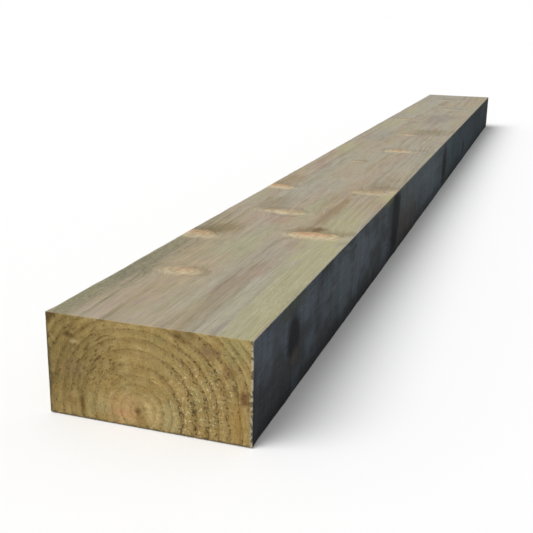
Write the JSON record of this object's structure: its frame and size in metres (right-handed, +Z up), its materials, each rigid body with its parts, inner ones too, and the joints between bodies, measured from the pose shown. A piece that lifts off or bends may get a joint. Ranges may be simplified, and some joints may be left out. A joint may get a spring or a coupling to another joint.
{
  "type": "railway sleeper",
  "caption": "Sawn softwood sleeper: one solid rectangular timber with eased long edges and cross-cut ends, for edging, steps, retaining walls and beds.",
  "frame": {"origin": "centre of the bottom face, on the ground that the sleeper lies on", "axes": "+X along the length, +Y across the width, +Z up through the thickness; the -X end is the one whose end grain faces the viewer"},
  "size_m": [2.4, 0.2, 0.1],
  "materials": {
    "treated_softwood": "rough sawn, green-brown pressure treatment, matt"
  },
  "bodies": {
    "root": {"sleeper": "treated_softwood"}
  },
  "joints": []
}
